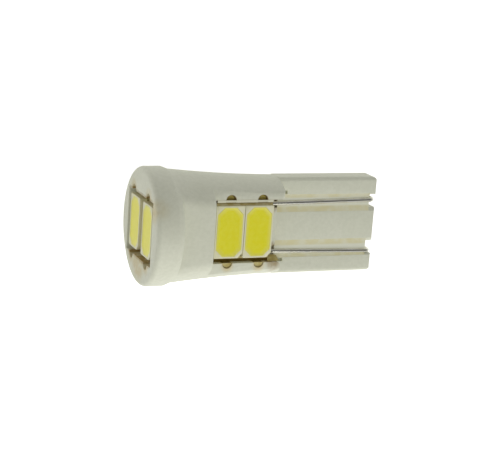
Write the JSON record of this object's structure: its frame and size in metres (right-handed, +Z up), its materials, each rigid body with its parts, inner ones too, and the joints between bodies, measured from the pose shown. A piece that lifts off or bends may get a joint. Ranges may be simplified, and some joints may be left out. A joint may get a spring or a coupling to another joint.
{
  "type": "wedge base led bulb",
  "caption": "Small wedge base bulb: white ceramic body with a round head, light chips on the head and both broad sides, and bent contact wires on a flat wedge cap",
  "frame": {"origin": "bottom centre of the box round the bulb as it lies at rest on a flat surface", "axes": "+X towards the wedge end, with the bulb's own axis dropping about 11.6 degrees towards it, +Y across the width of the wedge, +Z up"},
  "size_m": [0.026, 0.0118, 0.012],
  "materials": {
    "body_ceramic": "unglazed, fine-grained off-white",
    "board_laminate": "white solder mask on glass laminate",
    "chip_case": "moulded white resin, satin",
    "phosphor_gel": "yellow phosphor in clear silicone, smooth",
    "terminal_plate": "silver-plated copper strip",
    "tinned_wire": "tinned copper wire, bright",
    "solder": "tin solder, smooth",
    "resistor_ceramic": "black glass coat on alumina, tinned ends"
  },
  "bodies": {
    "root": {"board_front": "board_laminate", "board_side_a": "board_laminate", "board_side_b": "board_laminate", "ceramic_body": "body_ceramic", "chip_front_1_case": "chip_case", "chip_front_1_phosphor": "phosphor_gel", "chip_front_1_terminals": "terminal_plate", "chip_front_2_case": "chip_case", "chip_front_2_phosphor": "phosphor_gel", "chip_front_2_terminals": "terminal_plate", "chip_side_a_1_case": "chip_case", "chip_side_a_1_phosphor": "phosphor_gel", "chip_side_a_1_terminals": "terminal_plate", "chip_side_a_2_case": "chip_case", "chip_side_a_2_phosphor": "phosphor_gel", "chip_side_a_2_terminals": "terminal_plate", "chip_side_b_1_case": "chip_case", "chip_side_b_1_phosphor": "phosphor_gel", "chip_side_b_1_terminals": "terminal_plate", "chip_side_b_2_case": "chip_case", "chip_side_b_2_phosphor": "phosphor_gel", "chip_side_b_2_terminals": "terminal_plate", "contact_wire_1": "tinned_wire", "contact_wire_2": "tinned_wire", "core_board": "board_laminate", "link_pins_front": "tinned_wire", "link_pins_side": "tinned_wire", "resistor_1": "resistor_ceramic", "resistor_2": "resistor_ceramic", "solder_front": "solder", "solder_side_a": "solder", "solder_side_b": "solder", "solder_wires": "solder"}
  },
  "joints": []
}
